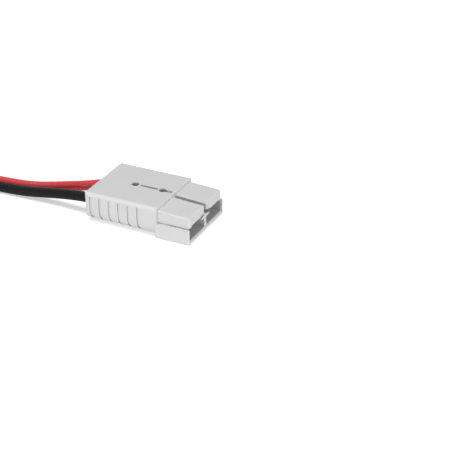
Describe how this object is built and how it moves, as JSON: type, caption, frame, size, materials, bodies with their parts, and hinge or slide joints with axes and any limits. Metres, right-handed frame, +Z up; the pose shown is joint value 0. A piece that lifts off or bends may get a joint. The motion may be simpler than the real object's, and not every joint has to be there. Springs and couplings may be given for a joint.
{
  "type": "genderless power connector",
  "caption": "Two-pole genderless power connector with flat moulded housing, sprung contacts and a red and a black crimped lead.",
  "frame": {"origin": "middle of the housing's footprint, on the surface that the housing rests on (the leads aren't counted)", "axes": "+X towards the mating end, +Y towards the positive (red) lead, +Z up, square to the flat face"},
  "size_m": [0.2469, 0.0544, 0.0182],
  "materials": {
    "grey_housing": "satin moulded polycarbonate, light grey",
    "silver_plate": "silver-plated copper, soft satin",
    "spring_steel": "stainless spring strip",
    "copper_strand": "bare copper strands",
    "tinned_strand": "tinned copper strands",
    "red_insulation": "smooth glossy PVC, red",
    "black_insulation": "smooth PVC, black"
  },
  "bodies": {
    "root": {"housing": "grey_housing", "contact_positive": "silver_plate", "contact_negative": "silver_plate", "spring_positive": "spring_steel", "spring_negative": "spring_steel", "strands_positive": "copper_strand", "strands_negative": "copper_strand", "lead_red": "red_insulation", "lead_black": "black_insulation", "hank_red": "red_insulation", "hank_black": "black_insulation", "tinned_end_red": "tinned_strand", "tinned_end_black": "tinned_strand"}
  },
  "joints": []
}
